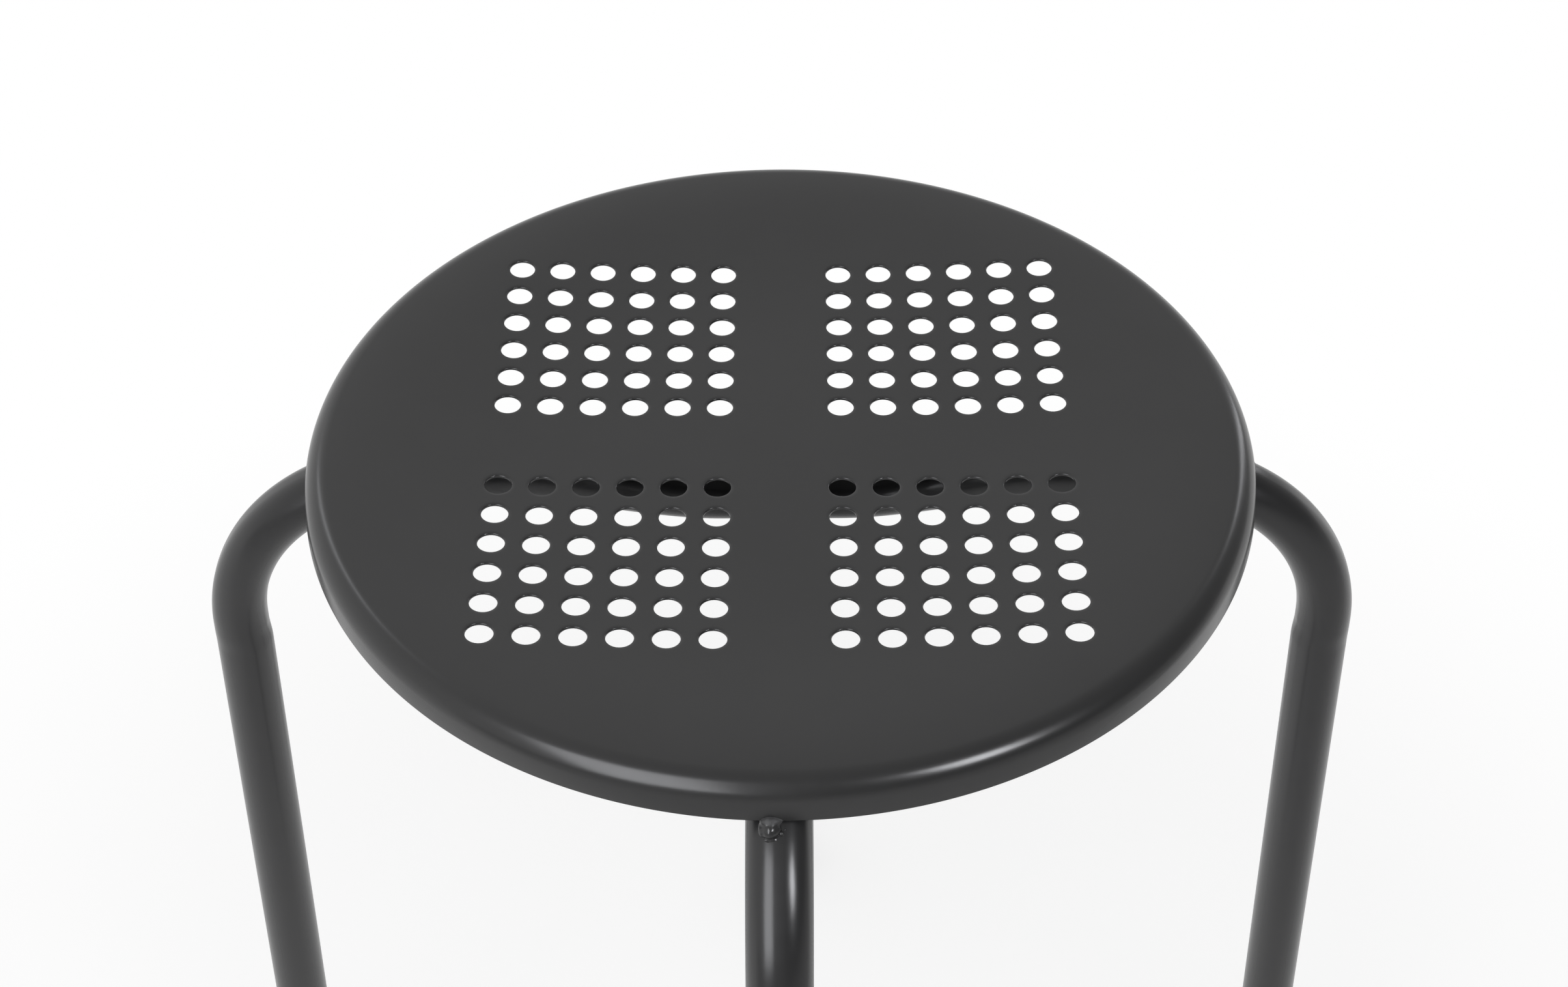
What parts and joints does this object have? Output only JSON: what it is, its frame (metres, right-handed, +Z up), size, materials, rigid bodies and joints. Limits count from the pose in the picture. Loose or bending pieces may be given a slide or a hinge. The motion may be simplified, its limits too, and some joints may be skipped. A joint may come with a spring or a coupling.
{
  "type": "stacking stool",
  "caption": "Round stacking stool: a dished, perforated steel seat pan on bent steel tube legs that cross under it, powder coated dark grey, with plastic feet.",
  "frame": {"origin": "on the floor, under the middle of the seat", "axes": "+Z up; the stool faces -Y, towards the camera of the picture; +X is its right as the picture shows it; the legs stand on the X and Y axes"},
  "size_m": [0.424, 0.424, 0.45],
  "materials": {
    "seat_coat": "satin powder coat, fine orange peel",
    "tube_coat": "satin powder coat",
    "weld_coat": "lumpy weld metal under the same powder coat, a little glossier",
    "foot_plastic": "matt moulded polyethylene"
  },
  "bodies": {
    "root": {"seat_pan": "seat_coat", "side_frame": "tube_coat", "front_back_frame": "tube_coat", "foot_right": "foot_plastic", "foot_back": "foot_plastic", "foot_left": "foot_plastic", "foot_front": "foot_plastic", "rim_weld_right": "weld_coat", "rim_weld_back": "weld_coat", "rim_weld_left": "weld_coat", "rim_weld_front": "weld_coat", "crossing_weld_right": "weld_coat", "crossing_weld_left": "weld_coat"}
  },
  "joints": []
}
